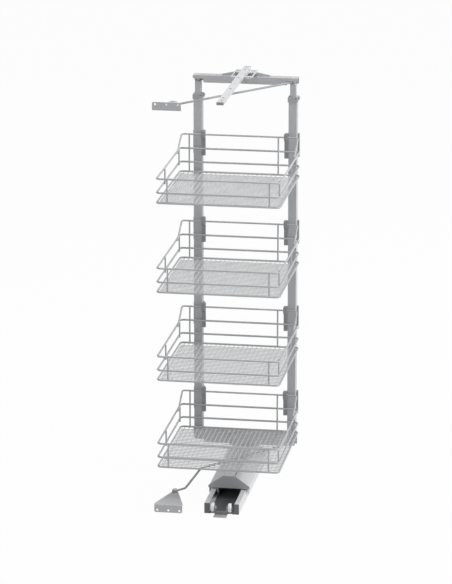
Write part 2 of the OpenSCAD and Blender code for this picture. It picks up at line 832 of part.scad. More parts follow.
// Moulded glides under the inner tubes, sliding inside the posts
module tube_glides() {
  glide_h = 15;
  spigot_h = 12;
  glide_w = post_w - 2 * post_wall - 2 * run_gap;
  glide_d = post_d - 2 * post_wall - 2 * run_gap;
  spigot_w = tube_w - 2 * tube_wall - 2 * fit_gap;
  spigot_d = tube_d - 2 * tube_wall - 2 * fit_gap;
  color(dark_plastic)
    for (side = [-1, 1])
      translate([side * post_x, post_y, post_top - tube_insert]) {
        span_box([-glide_w / 2, -glide_d / 2, -glide_h], [glide_w / 2, glide_d / 2, 0]);
        span_box([-spigot_w / 2, -spigot_d / 2, -eps], [spigot_w / 2, spigot_d / 2, spigot_h]);
      }
}

// Moulded hanger clipped round a post: the jaw beside the post carries a hook for the
// back wire and a flat face for the upper ring
module hanger(i) {
  floor_z = basket_z + i * basket_pitch;
  in_x = -post_w / 2 - fit_gap;
  out_x = post_w / 2 + fit_gap;
  back_y = post_d / 2 + fit_gap;
  jaw_y = jaw_front - post_y;
  clip_high = hanger_high - clip_drop;
  color(dark_plastic)
    translate([post_x, post_y, floor_z]) {
      span_box([in_x - jaw_w, jaw_y, hanger_low], [in_x, jaw_y + jaw_d, hanger_high]);
      span_box([in_x - web_t, jaw_y + jaw_d - eps, hanger_low], [in_x, back_y + web_t, clip_high]);
      span_box([in_x - eps, back_y, hanger_low], [out_x + strip_t, back_y + web_t, clip_high]);
      span_box([out_x, strip_back - post_d / 2, hanger_low], [out_x + strip_t, back_y + eps, clip_high]);
      translate([0, -post_y, 0])
        along_x(in_x - jaw_w, in_x)
          polygon([
            [jaw_front + eps, hook_seat - seat_h - lip_t], [jaw_front + eps, hook_seat], [-wire_gap, hook_seat],
            [-wire_gap, hanger_high - 2], [-wire_gap - 1, hanger_high], [-wire_gap - lip_t, hanger_high],
            [-wire_gap - lip_t, hook_seat - seat_h + lip_t], [-wire_gap, hook_seat - seat_h]
          ]);
    }
}

// Welded wire frame of a basket: three rings, a raised back wire and upright bars
module basket(i) {
  color(silver)
    translate([basket_shift, 0, basket_z + i * basket_pitch]) {
      for (h = [0, mid_ring_h, top_ring_h])
        translate([0, 0, h])
          basket_ring();
      basket_back();
      for (x = [front_bar_inset - basket_w / 2, basket_w / 2 - front_bar_inset])
        wire_z([x, bar_offset - basket_d, mesh_gap], top_ring_h, bar_d);
      for (x = [back_bar_left - basket_w / 2, basket_w / 2 - back_bar_right])
        wire_z([x, -bar_offset, mesh_gap], back_wire_h, bar_d);
      for (y = [-left_bar_back, left_bar_front - basket_d])
        side_bar(bar_offset - basket_w / 2, y);
      for (y = [-right_bar_back, right_bar_front - basket_d])
        side_bar(basket_w / 2 - bar_offset, y);
    }
}

// A short bar that ties the upper two rings together at the side
module side_bar(x, y) {
  wire_z([x, y, mid_ring_h - bar_over], top_ring_h - mid_ring_h + 2 * bar_over, bar_d);
}

// One closed ring of wire with round corners
module basket_ring() {
  straight_x = basket_w / 2 - ring_corner_r;
  far_y = ring_corner_r - basket_d;
  for (y = [-basket_d, 0])
    wire_x([-straight_x, y, 0], 2 * straight_x, ring_d);
  for (x = [-basket_w / 2, basket_w / 2])
    wire_y([x, far_y, 0], -ring_corner_r - far_y, ring_d);
  translate([straight_x, -ring_corner_r, 0])
    wire_bend(ring_corner_r, 0, 90, ring_d);
  translate([-straight_x, -ring_corner_r, 0])
    wire_bend(ring_corner_r, 90, 90, ring_d);
  translate([-straight_x, far_y, 0])
    wire_bend(ring_corner_r, 180, 90, ring_d);
  translate([straight_x, far_y, 0])
    wire_bend(ring_corner_r, 270, 90, ring_d);
}

// The back wire: a flat bow tilted down, its ends welded inside the upper ring's side wires
module basket_back() {
  straight_x = back_half - back_corner_r;
  translate([0, 0, back_wire_h])
    rotate([back_slope, 0, 0]) {
      wire_x([-straight_x, 0, 0], 2 * straight_x, back_wire_d);
      for (x = [-back_half, back_half])
        wire_y([x, -back_leg, 0], back_leg - back_corner_r, back_wire_d);
      translate([straight_x, -back_corner_r, 0])
        wire_bend(back_corner_r, 0, 90, back_wire_d);
      translate([-straight_x, -back_corner_r, 0])
        wire_bend(back_corner_r, 90, 90, back_wire_d);
    }
}

// Mesh floor of a basket: long wires inside the floor ring and cross wires welded under them
module basket_floor(i) {
  inside_w = basket_w - ring_d - 2 * fit_gap;
  inside_d = basket_d - ring_d - 2 * fit_gap;
  color(bright)
    translate([basket_shift, -basket_d / 2, basket_z + i * basket_pitch]) {
      for (k = [0:mesh_across])
        wire_y([(k - mesh_across / 2) * mesh_pitch, -inside_d / 2, -mesh_drop], inside_d, mesh_wire_d);
      for (k = [0:mesh_along])
        wire_x([-inside_w / 2, (k - mesh_along / 2) * mesh_pitch, -mesh_drop - mesh_layer], inside_w, mesh_wire_d);
    }
}

// Folded bracket on the top rail: a foot, a tapered web and a seat for the guide plate
module guide_bracket() {
  color(silver) {
    along_y(guide_web_y, guide_web_y + guide_t)
      polygon([
        [-guide_foot, top_rail_top], [guide_foot, top_rail_top], [guide_foot, top_rail_top + guide_tip],
        [guide_half, guide_z], [-guide_half, guide_z], [-guide_foot, top_rail_top + guide_tip]
      ]);
    span_box([-guide_foot, guide_web_y, top_rail_top], [guide_foot, post_gap + post_d, top_rail_top + guide_t]);
    span_box([-guide_half, guide_web_y - guide_foot / 6, guide_z - guide_t], [guide_half, guide_web_y + eps, guide_z]);
  }
}

// Pressed guide plate under the ceiling rail, with two windows and a folded front edge
module guide_plate() {
  window_front = -guide_front + 16;
  window_back = guide_back - 14;
  color(zinc)
    difference() {
      union() {
        span_box([-guide_half, -guide_front, guide_z], [guide_half, guide_back, guide_top]);
        span_box([-guide_half + 4, -guide_front, guide_z - guide_lip],
                 [guide_half - 4, -guide_front + guide_t, guide_z + eps]);
      }
      for (side = [-1, 1])
        translate([side * (window_in + window_out) / 2, 0, 0])
          span_box([(window_in - window_out) / 2, window_front, guide_z - 1],
                   [(window_out - window_in) / 2, window_back, guide_top + 1]);
      for (y = guide_pin_y)
        wire_z([0, y, guide_z - 1], guide_t + 2, guide_pin_d + 2 * pin_gap);
    }
}

// Pins of the guide rollers, riveted in the guide plate
module guide_pins() {
  head_t = 2;
  head_d = 10;
  color(silver)
    for (y = guide_pin_y) {
      wire_z([0, y, guide_z - head_t], guide_roller_z + guide_roller_h - guide_z + head_t, guide_pin_d);
      wire_z([0, y, guide_z - head_t], head_t, head_d);
    }
}

module guide_roller(y) {
  color(dark_plastic)
    translate([0, y, guide_roller_z])
      difference() {
        cylinder(d = guide_roller_d, h = guide_roller_h);
        translate([0, 0, -1])
          cylinder(d = guide_pin_d + 2 * pin_gap, h = guide_roller_h + 2);
      }
}

// Rolled rail for the cabinet top, open below by a slot, with screw holes
module ceiling_rail() {
  half = ceiling_w / 2;
  slot = ceiling_slot / 2;
  color(zinc)
    difference() {
      along_y(-ceiling_front, ceiling_back)
        polygon([
          [slot, ceiling_z], [half, ceiling_z], [half, ceiling_top], [-half, ceiling_top], [-half, ceiling_z],
          [-slot, ceiling_z], [-slot, ceiling_z + ceiling_t], [ceiling_t - half, ceiling_z + ceiling_t],
          [ceiling_t - half, ceiling_top - ceiling_t], [half - ceiling_t, ceiling_top - ceiling_t],
          [half - ceiling_t, ceiling_z + ceiling_t], [slot, ceiling_z + ceiling_t]
        ]);
      for (y = ceiling_holes)
        wire_z([0, y, ceiling_top - ceiling_t - 1], ceiling_t + 2, ceiling_hole_d);
    }
}

// Moulded stops in both ends of the ceiling rail
module ceiling_rail_stops() {
  color(dark_plastic) {
    rail_stop(-ceiling_front - stop_t, -ceiling_front, 0, stop_t);
    rail_stop(ceiling_back, ceiling_back + stop_t, -stop_t, 0);
  }
}

// One stop: an end plate from y0 to y1 with a plug that reaches into the rail
module rail_stop(y0, y1, plug_low, plug_high) {
  plug_half = ceiling_w / 2 - ceiling_t - fit_gap;
  span_box([-ceiling_w / 2, y0, ceiling_z], [ceiling_w / 2, y1, ceiling_top]);
  span_box([-plug_half, (plug_low < 0 ? y0 : y1) + plug_low - eps, ceiling_z + ceiling_t + fit_gap],
           [plug_half, (plug_low < 0 ? y0 : y1) + plug_high + eps, ceiling_top - ceiling_t - fit_gap]);
}

// A straight piece of arm rod, from x0 and z0 down the given slope
module rod_piece(x0, z0, length, slope) {
  translate([x0, 0, z0])
    rotate([0, 90 + slope, 0])
      cylinder(d = rod_d, h = length);
}

// The bend between two straight pieces of arm rod
module rod_bend(from) {
  wire_bend(rod_bend_r, from - bend_lap, crank_slope + 2 * bend_lap, rod_d - bend_thin);
}

// Places an arm: its pivot on the right post at the origin, the bracket along X
module on_arm() {
  translate([post_x, post_y, 0])
    rotate([0, 0, arm_turn])
      children();
}

module arm_eye(x, z) {
  wire_z([x, 0, z - eye_h / 2], eye_h, eye_d);
}

module arm_bore(x, z) {
  wire_z([x, 0, z - eye_h], 2 * eye_h, 2 * eye_bore_r);
}

// Straight rod between the top rail and the upper door bracket
module top_arm() {
  color(bright)
    on_arm()
      difference() {
        union() {
          rod_piece(0, top_arm_z, arm_len, 0);
          arm_eye(0, top_arm_z);
          arm_eye(arm_len, top_arm_z);
        }
        arm_bore(0, top_arm_z);
        arm_bore(arm_len, top_arm_z);
      }
}

// Cranked rod between the bottom rail and the lower door bracket
module bottom_arm() {
  high_end = arm_len - crank_low - crank_rise;
  low_start = arm_len - crank_low;
  slope_len = norm([crank_rise, arm_high_z - arm_low_z]) - 2 * crank_trim;
  color(bright)
    on_arm()
      difference() {
        union() {
          rod_piece(0, arm_high_z, high_end - crank_trim, 0);
          translate([high_end - crank_trim, 0, arm_high_z - rod_bend_r])
            rotate([90, 0, 0])
              rod_bend(90 - crank_slope);
          rod_piece(high_end + crank_trim * cos(crank_slope), arm_high_z - crank_trim * sin(crank_slope),
                    slope_len, crank_slope);
          translate([low_start + crank_trim, 0, arm_low_z + rod_bend_r])
            rotate([90, 0, 0])
              rod_bend(270 - crank_slope);
          rod_piece(low_start + crank_trim, arm_low_z, crank_low - crank_trim, 0);
          arm_eye(0, arm_high_z);
          arm_eye(arm_len, arm_low_z);
        }
        arm_bore(0, arm_high_z);
        arm_bore(arm_len, arm_low_z);
      }
}

// Folded door bracket with its pivot at the origin and its plate under z = 0
module door_bracket() {
  half = bracket_w / 2;
  fold_y = fold_r - bracket_depth;
  neck_y = fold_y + bracket_neck;
  tangent = atan2(neck_y, half) + acos(nose_r / norm([half, neck_y]));
  difference() {
    union() {
      translate([0, 0, -bracket_t])
        linear_extrude(height = bracket_t) {
          circle(r = nose_r);
          polygon([
            [half, fold_y], [half, neck_y], [nose_r * cos(tangent), nose_r * sin(tangent)],
            [-nose_r * cos(tangent), nose_r * sin(tangent)], [-half, neck_y], [-half, fold_y]
          ]);
        }
      along_x(-half, half)
        translate([fold_y, -fold_r])
          intersection() {
            difference() {
              circle(r = fold_r);
              circle(r = fold_r - bracket_t);
            }
            translate([-fold_r, 0])
              square(fold_r);
          }
      along_y(-bracket_depth, bracket_t - bracket_depth)
        difference() {
          bracket_flange();
          for (x = [-hole_pitch, 0, hole_pitch])
            translate([x, hole_edge - flange_h])
              circle(d = hole_d);
        }
    }
    wire_z([0, 0, -bracket_t - 1], bracket_t + 2, pin_d + 2 * pin_gap);
  }
}

// Outline of the flange in X and Z, with round lower corners
module bracket_flange() {
  half = bracket_w / 2;
  translate([-half, flange_corner_r - flange_h])
    square([bracket_w, flange_h - flange_corner_r - fold_r]);
  translate([flange_corner_r - half, -flange_h])
    square([bracket_w - 2 * flange_corner_r, flange_corner_r + eps]);
  for (x = [flange_corner_r - half, half - flange_corner_r])
    translate([x, flange_corner_r - flange_h])
      circle(r = flange_corner_r);
}

// Rivet that joins a bracket to its arm, in the bracket's own place
module bracket_rivet(spacer) {
  cap_z = spacer + 2 * run_gap + eye_h;
  wire_z([0, 0, -bracket_t - rivet_head_t], bracket_t + rivet_head_t + cap_z + rivet_cap_t, pin_d);
  wire_z([0, 0, -bracket_t - rivet_head_t], rivet_head_t, rivet_head_d);
  wire_z([0, 0, cap_z], rivet_cap_t, rivet_head_d);
  if (spacer > 0)
    wire_z([0, 0, 0], spacer, rivet_head_d);
}

// Places a bracket or its rivet below the lower arm
module at_low_bracket() {
  translate([bracket_x, door_y + bracket_depth, low_plate_z])
    children();
}

// Places a bracket or its rivet above the upper arm, upside down
module at_high_bracket() {
  translate([bracket_x, door_y + bracket_depth, top_plate_z])
    mirror([0, 0, 1])
      children();
}

module bottom_bracket() {
  color(silver)
    at_low_bracket()
      door_bracket();
}

module bottom_bracket_pin() {
  color(dark_plastic)
    at_low_bracket()
      bracket_rivet(0);
}

module top_bracket() {
  color(silver)
    at_high_bracket()
      door_bracket();
}

module top_bracket_pin() {
  color(dark_plastic)
    at_high_bracket()
      bracket_rivet(bracket_spacer);
}

runner_base();
left_track();
right_track();
track_end_caps();
track_rivets();
front_axles();
front_rollers();
runner_hood();
hood_front_cap();
hood_rear_cap();
carriage_channel();
guide_shoes();
hood_blocks();
carriage_axles();
carriage_rollers();
carriage_saddle();
saddle_bolts();
rail_screws();
bottom_rail();
post(-1);  // left_post
post(1);  // right_post
collar(-1);  // left_collar
collar(1);  // right_collar
collar_screws();
bottom_pivot_pin();
inner_tube(-1);  // left_inner_tube
inner_tube(1);  // right_inner_tube
tube_glides();
top_rail();
top_pivot_pins();
guide_bracket();
guide_plate();
guide_pins();
guide_roller(guide_pin_y[0]);  // front_guide_roller
guide_roller(guide_pin_y[1]);  // rear_guide_roller
ceiling_rail();
ceiling_rail_stops();
top_arm();
bottom_arm();
top_bracket();
top_bracket_pin();
bottom_bracket();
bottom_bracket_pin();
for (i = [0:basket_total - 1]) {
  mirror([1, 0, 0]) hanger(i);
  hanger(i);
  basket(i);
  basket_floor(i);
}
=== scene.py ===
import math

import bpy
import numpy as np
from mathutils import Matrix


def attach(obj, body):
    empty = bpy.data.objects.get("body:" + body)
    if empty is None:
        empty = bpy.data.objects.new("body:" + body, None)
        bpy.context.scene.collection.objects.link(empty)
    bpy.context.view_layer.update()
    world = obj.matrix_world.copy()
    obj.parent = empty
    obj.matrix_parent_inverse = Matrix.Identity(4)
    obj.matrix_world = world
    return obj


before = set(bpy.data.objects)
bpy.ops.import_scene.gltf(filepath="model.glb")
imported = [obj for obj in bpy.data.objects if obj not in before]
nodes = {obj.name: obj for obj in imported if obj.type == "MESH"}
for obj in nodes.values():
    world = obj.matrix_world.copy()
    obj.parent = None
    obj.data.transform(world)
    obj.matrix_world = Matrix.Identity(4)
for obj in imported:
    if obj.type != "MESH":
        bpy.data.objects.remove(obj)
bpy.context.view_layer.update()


# Camera of the catalogue picture: a long lens a little to the right of the frame's
# front and above it, so that the baskets' floors show and the uprights stay parallel.
MM = 0.001
AZIMUTH, ELEVATION = math.radians(9.279), math.radians(15.628)
AIM_MM = (-54.36, 0.0, 542.23)
DISTANCE_MM = 10413.9
FOCAL_PX, LONG_SIDE_PX, SENSOR_MM = 3555.4, 584, 36.0

eye_line = (
    math.sin(AZIMUTH) * math.cos(ELEVATION),
    -math.cos(AZIMUTH) * math.cos(ELEVATION),
    math.sin(ELEVATION),
)
lens = bpy.data.cameras.new("camera")
lens.sensor_fit = "AUTO"
lens.sensor_width = SENSOR_MM
lens.lens = FOCAL_PX * SENSOR_MM / LONG_SIDE_PX
lens.clip_start, lens.clip_end = 0.1, 100.0
camera = bpy.data.objects.new("camera", lens)
camera.location = [(a + DISTANCE_MM * e) * MM for a, e in zip(AIM_MM, eye_line)]
camera.rotation_euler = (math.pi / 2 - ELEVATION, 0.0, AZIMUTH)
bpy.context.scene.collection.objects.link(camera)
bpy.context.scene.camera = camera


# Sheet steel of the uprights: posts, inner tubes, rails, guide bracket, saddle and door
# brackets. Folded or drawn from steel, then powder coated in silver grey, which leaves
# a fine even grain and a soft gloss.
SHEET_GREY, SHEET_GREY_LOW = "#c2c3c5", "#bbbcbe"
COAT_GRAIN_MM = 0.8
COAT_PATCH_MM = 60.0
GRAIN_HEIGHT_MM = 0.2
LOOSE_CORNER_MM = 0.01
SHARP_EDGE = math.radians(35)


def linear(code):
    """Linear colour of an sRGB hex code: each channel through the sRGB curve."""
    values = [int(code[i:i + 2], 16) / 255 for i in (1, 3, 5)]
    return [v / 12.92 if v <= 0.04045 else ((v + 0.055) / 1.055) ** 2.4 for v in values] + [1.0]


def add(tree, kind, inputs=None, **settings):
    """Adds one node, sets its properties, and fills its inputs with values or links."""
    made = tree.nodes.new(kind)
    for name, value in settings.items():
        setattr(made, name, value)
    for name, value in (inputs or {}).items():
        if isinstance(value, bpy.types.NodeSocket):
            tree.links.new(value, made.inputs[name])
        else:
            made.inputs[name].default_value = value
    return made


def material(name):
    """A new node material: its tree, its shader and the object's own coordinates."""
    made = bpy.data.materials.new(name)
    made.use_nodes = True
    tree = made.node_tree
    place = add(tree, "ShaderNodeTexCoord").outputs["Object"]
    return made, tree, tree.nodes["Principled BSDF"], place


def finish_with(made, names):
    """Gives the material to CAD nodes by name."""
    for name in names:
        slots = nodes[name].data.materials
        slots.clear()
        slots.append(made)


def soften(names, width_mm):
    """Rounds the edges of CAD nodes: joins their loose triangles, then bevels every sharp edge."""
    for name in names:
        joined = nodes[name].modifiers.new("joined", "WELD")
        joined.merge_threshold = LOOSE_CORNER_MM * MM
        edge = nodes[name].modifiers.new("edge", "BEVEL")
        edge.limit_method = "ANGLE"
        edge.angle_limit = SHARP_EDGE
        edge.width = width_mm * MM
        edge.segments = 2
        edge.harden_normals = True


def cells_per_metre(size_mm):
    """Texture scale that makes one cell of a pattern this size."""
    return 1.0 / (size_mm * MM)


def coated(name, high, low, grain_mm, patch_mm, rough, metal, bump):
    """Powder coat: a faint drift between two tones and a grain of small domes."""
    made, tree, shader, place = material(name)
    patch = add(tree, "ShaderNodeTexNoise",
                {"Vector": place, "Scale": cells_per_metre(patch_mm), "Detail": 3.0})
    tone = add(tree, "ShaderNodeMix", {"Factor": patch.outputs["Fac"], "A": linear(low), "B": linear(high)},
               data_type="RGBA")
    grain = add(tree, "ShaderNodeTexNoise",
                {"Vector": place, "Scale": cells_per_metre(grain_mm), "Detail": 2.0})
    relief = add(tree, "ShaderNodeBump",
                 {"Height": grain.outputs["Fac"], "Strength": bump, "Distance": GRAIN_HEIGHT_MM * MM})
    gloss = add(tree, "ShaderNodeMapRange",
                {"Value": grain.outputs["Fac"], "To Min": rough - 0.05, "To Max": rough + 0.07})
    tree.links.new(tone.outputs["Result"], shader.inputs["Base Color"])
    tree.links.new(gloss.outputs["Result"], shader.inputs["Roughness"])
    tree.links.new(relief.outputs["Normal"], shader.inputs["Normal"])
    shader.inputs["Metallic"].default_value = metal
    return made


sheet_coat = coated("silver_powder_coat_on_sheet", SHEET_GREY, SHEET_GREY_LOW, COAT_GRAIN_MM, COAT_PATCH_MM,
                    rough=0.5, metal=0.06, bump=0.25)
tubes_and_rails = ["left_post", "right_post", "left_inner_tube", "right_inner_tube", "top_rail", "bottom_rail",
                   "guide_bracket", "carriage_saddle"]
finish_with(sheet_coat, tubes_and_rails + ["hood_blocks", "top_bracket", "bottom_bracket"])
soften(tubes_and_rails, 0.6)


# Wire of the baskets and rod of the door arms: drawn steel wire, bent and spot welded, then coated in the same
# silver, a little glossier on the thin wire and duller on the rod, whose darker copy of the coat is painted
# shade.
WIRE_GREY, WIRE_GREY_LOW = "#babbbd", "#b1b2b4"
ROD_SHADED_GREY, ROD_SHADED_GREY_LOW = "#9fa0a3", "#97989b"
BASKETS = (1, 2, 3, 4)

wire_coat = coated("silver_coat_on_wire", WIRE_GREY, WIRE_GREY_LOW, COAT_GRAIN_MM, COAT_PATCH_MM,
                   rough=0.42, metal=0.08, bump=0.1)
finish_with(wire_coat, [f"basket_{n}" for n in BASKETS])
# Painted shade: the same silver, made darker for the rod.
shaded_rod_coat = coated("silver_coat_painted_shade_on_rod", ROD_SHADED_GREY, ROD_SHADED_GREY_LOW, COAT_GRAIN_MM, COAT_PATCH_MM,
                  rough=0.5, metal=0.0, bump=0.1)
finish_with(shaded_rod_coat, ["top_arm", "bottom_arm"])


# Mesh floors of the baskets: thin straight wires in two layers, spot welded where they cross and coated with the
# basket. A lighter copy of the coat paints the light from above on the floors.
MESH_LIT_GREY, MESH_LIT_GREY_LOW = "#d0d1d3", "#c7c8ca"

# Painted light: the same coat, made lighter for the floors.
lit_mesh_coat = coated("silver_coat_painted_light_on_mesh_wire", MESH_LIT_GREY, MESH_LIT_GREY_LOW, COAT_GRAIN_MM, COAT_PATCH_MM,
                   rough=0.42, metal=0.08, bump=0.1)
finish_with(lit_mesh_coat, [f"basket_floor_{n}" for n in BASKETS])


# Weld nuggets of the baskets: where a bar crosses a ring the two wires were pressed together
# and fused, which leaves a low flattened bead on each side of the joint.
BASKET_SHIFT_MM = -14.5
LOWEST_BASKET_MM, BASKET_PITCH_MM = 123.0, 259.5
BASKET_HALF_MM, BASKET_DEEP_MM = 175.0, 385.0
RING_LEVELS_MM, BACK_WIRE_MM = (0.6, 29.0, 69.5), 111.5
BAR_IN_MM = 2.4
FRONT_BARS_MM, BACK_BARS_MM = (-145, 145), (-147, 114)
LEFT_BARS_MM, RIGHT_BARS_MM = (-41, -271), (-131, -361)
BACK_LEG_MM = (172.3, -70.0, 70.0)
NUGGET_WIDE_MM, NUGGET_FLAT_MM = 3.1, 1.4
LEG_NUGGET_MM = (1.3, 4.2, 2.8)
NUGGET_ROUND, NUGGET_RISE = 14, 9


def grid_mesh(name, points):
    """One mesh from a stack of grids: each point joins the next row and column, and columns close."""
    stack, rows, columns, _ = points.shape
    index = np.arange(stack * rows * columns).reshape(stack, rows, columns)
    beside = np.roll(index, -1, axis=2)
    quads = np.stack([index[:, :-1], beside[:, :-1], beside[:, 1:], index[:, 1:]], axis=-1).reshape(-1, 4)
    made = bpy.data.meshes.new(name)
    made.from_pydata(points.reshape(-1, 3).tolist(), [], quads.tolist())
    made.polygons.foreach_set("use_smooth", np.ones(len(quads), dtype=bool))
    made.update()
    return made


def piece_on(name, points_mm, body, finish):
    """A new piece from grids in millimetres, riding on a body and wearing a finish."""
    made = bpy.data.objects.new(name, grid_mesh(name, points_mm * MM))
    bpy.context.scene.collection.objects.link(made)
    made.data.materials.append(finish)
    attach(made, body)
    return made


def nuggets(centres, radii):
    """Ellipsoids: each centre plus its radii times the unit sphere of turn t and rise p."""
    turn = np.linspace(0, 2 * np.pi, NUGGET_ROUND, endpoint=False)
    rise = np.linspace(-np.pi / 2, np.pi / 2, NUGGET_RISE)[:, None]
    ball = np.stack([np.cos(rise) * np.cos(turn), np.cos(rise) * np.sin(turn), np.sin(rise) + 0 * turn], axis=-1)
    return centres[:, None, None, :] + radii[:, None, None, :] * ball[None]


front_y, back_y = BAR_IN_MM - BASKET_DEEP_MM, -BAR_IN_MM
side_x = BASKET_HALF_MM - BAR_IN_MM
leg_x, leg_y, leg_z = BACK_LEG_MM
across = (NUGGET_WIDE_MM, NUGGET_FLAT_MM, NUGGET_WIDE_MM)
along_side = (NUGGET_FLAT_MM, NUGGET_WIDE_MM, NUGGET_WIDE_MM)
spots = (
    [((x, front_y, z), across) for x in FRONT_BARS_MM for z in RING_LEVELS_MM]
    + [((x, back_y, z), across) for x in BACK_BARS_MM for z in RING_LEVELS_MM + (BACK_WIRE_MM,)]
    + [((-side_x, y, z), along_side) for y in LEFT_BARS_MM for z in RING_LEVELS_MM[1:]]
    + [((side_x, y, z), along_side) for y in RIGHT_BARS_MM for z in RING_LEVELS_MM[1:]]
    + [((x, leg_y, leg_z), LEG_NUGGET_MM) for x in (-leg_x, leg_x)]
)
centres, radii = (np.array(part, dtype=float) for part in zip(*spots))
for n in BASKETS:
    floor_mm = LOWEST_BASKET_MM + BASKET_PITCH_MM * (n - 1)
    piece_on(f"basket_{n}_welds", nuggets(centres + [BASKET_SHIFT_MM, 0.0, floor_mm], radii), f"basket_{n}",
             wire_coat)


# Runner hood and floor tracks: extruded aluminium, satin anodised. The die leaves fine
# lines along the length, which stretch the gloss across them.
ANODISED, ANODISED_LOW = "#e2e3e5", "#d9dadc"
DIE_LINE_MM = 1.2

extrusion, tree, shader, place = material("satin_anodised_aluminium")
along = add(tree, "ShaderNodeMapping", {"Vector": place, "Scale": (1.0, 0.01, 1.0)})
lines = add(tree, "ShaderNodeTexNoise",
            {"Vector": along.outputs["Vector"], "Scale": cells_per_metre(DIE_LINE_MM), "Detail": 2.0})
tone = add(tree, "ShaderNodeMix",
           {"Factor": lines.outputs["Fac"], "A": linear(ANODISED_LOW), "B": linear(ANODISED)}, data_type="RGBA")
gloss = add(tree, "ShaderNodeMapRange", {"Value": lines.outputs["Fac"], "To Min": 0.38, "To Max": 0.5})
relief = add(tree, "ShaderNodeBump",
             {"Height": lines.outputs["Fac"], "Strength": 0.15, "Distance": GRAIN_HEIGHT_MM * MM})
tree.links.new(tone.outputs["Result"], shader.inputs["Base Color"])
tree.links.new(gloss.outputs["Result"], shader.inputs["Roughness"])
tree.links.new(relief.outputs["Normal"], shader.inputs["Normal"])
shader.inputs["Metallic"].default_value = 0.1
finish_with(extrusion, ["runner_hood", "left_track", "right_track"])
soften(["runner_hood", "left_track", "right_track"], 0.4)


# Dark strip in the hood's groove, where the groove shows as a dark line: painted shade, a dark half round laid in
# the groove. Its crown stays under the hood's top.
GROOVE_STRIP_X_MM, GROOVE_STRIP_HALF_MM = 16.3, 1.1
GROOVE_STRIP_LOW_MM, GROOVE_STRIP_RISE_MM = 66.3, 1.2
GROOVE_STRIP_ENDS_MM = (-276.0, 59.0)
GROOVE_SHADE_GREY, GROOVE_SHADE_GREY_LOW = "#4a4b4d", "#414244"


def groove_strip(x, half, low, rise, ends, steps=13):
    """A half round along Y: x plus half times cos t, low plus rise times sin t, t from 180 degrees down."""
    t = np.linspace(np.pi, 0, steps)
    ring = np.stack([x + half * np.cos(t), 0 * t, low + rise * np.sin(t)], axis=-1)
    middle = ring.mean(axis=0)
    loops = np.stack([middle + 0 * ring, ring, ring, middle + 0 * ring])
    loops[:, :, 1] = np.array([ends[0], ends[0], ends[1], ends[1]])[:, None]
    return loops[None]


# Painted shade: a dark grey strip in place of the shadow in the groove.
groove_shade = coated("painted_groove_shade", GROOVE_SHADE_GREY, GROOVE_SHADE_GREY_LOW, 0.9, 15.0, rough=0.6, metal=0.0, bump=0.1)
groove_shade_strip = groove_strip(GROOVE_STRIP_X_MM, GROOVE_STRIP_HALF_MM, GROOVE_STRIP_LOW_MM, GROOVE_STRIP_RISE_MM, GROOVE_STRIP_ENDS_MM)
piece_on("hood_groove_shade_strip", groove_shade_strip, "pull_frame", groove_shade)


# Guide plate, pins, axles, rivets and bolts: pressed or turned steel with a bright
# zinc plate, which shows as faint crystal patches and a clear gloss.
ZINC, ZINC_LOW = "#d2d3d5", "#c8c9cb"
SPANGLE_MM = 6.0


def plated(name):
    """Zinc plate: crystal cells that differ a little in tone and gloss."""
    made, tree, shader, place = material(name)
    spangle = add(tree, "ShaderNodeTexVoronoi", {"Vector": place, "Scale": cells_per_metre(SPANGLE_MM)})
    shade = add(tree, "ShaderNodeSeparateColor", {"Color": spangle.outputs["Color"]})
    tone = add(tree, "ShaderNodeMix",
               {"Factor": shade.outputs["Red"], "A": linear(ZINC_LOW), "B": linear(ZINC)}, data_type="RGBA")
    gloss = add(tree, "ShaderNodeMapRange", {"Value": shade.outputs["Green"], "To Min": 0.32, "To Max": 0.42})
    tree.links.new(tone.outputs["Result"], shader.inputs["Base Color"])
    tree.links.new(gloss.outputs["Result"], shader.inputs["Roughness"])
    shader.inputs["Metallic"].default_value = 0.1
    return made, tree, shader, place, tone.outputs["Result"]


zinc = plated("bright_zinc_plate")[0]
finish_with(zinc, ["guide_plate", "guide_pins", "saddle_bolts", "rail_screws", "track_rivets", "front_axles",
                   "carriage_axles", "top_pivot_pins", "bottom_pivot_pin", "top_bracket_pin",
                   "bottom_bracket_pin"])
soften(["guide_plate"], 0.3)


# Ceiling rail: the same zinc plate outside. The closed inside and the walls of the punched holes get a dark tone
# as painted shade, so that the screw holes read dark from above.
RAIL_TOP_MM, RAIL_INSIDE_HALF_MM = 1208.3, 8.8
PUNCH_BURR_MM = 0.15
SHADE_INSIDE_GREY = "#3a3b3d"

rail_zinc, tree, shader, place, tone = plated("zinc_plate_painted_shade_inside")
# Painted shade: inside the rail and below its top, the tone turns dark in place of the shadow there.
spot = add(tree, "ShaderNodeSeparateXYZ", {"Vector": place})
off = add(tree, "ShaderNodeMath", {0: spot.outputs["X"]}, operation="ABSOLUTE")
inner = add(tree, "ShaderNodeMath", {0: off.outputs[0], 1: RAIL_INSIDE_HALF_MM * MM}, operation="LESS_THAN")
below = add(tree, "ShaderNodeMath", {0: spot.outputs["Z"], 1: (RAIL_TOP_MM - PUNCH_BURR_MM) * MM},
            operation="LESS_THAN")
shaded_inside = add(tree, "ShaderNodeMath", {0: inner.outputs[0], 1: below.outputs[0]}, operation="MULTIPLY")
both = add(tree, "ShaderNodeMix", {"Factor": shaded_inside.outputs[0], "A": tone, "B": linear(SHADE_INSIDE_GREY)}, data_type="RGBA")
tree.links.new(both.outputs["Result"], shader.inputs["Base Color"])
finish_with(rail_zinc, ["ceiling_rail"])


# Carriage channel and clamp screws: folded or turned mild steel with a dark
# phosphate finish, dull and slightly cloudy.
PHOSPHATE, PHOSPHATE_LOW = "#707173", "#656668"

phosphate = coated("dark_phosphated_steel", PHOSPHATE, PHOSPHATE_LOW, 1.0, 25.0, rough=0.5, metal=0.3, bump=0.2)
finish_with(phosphate, ["carriage_channel", "collar_screws"])
soften(["carriage_channel"], 0.4)


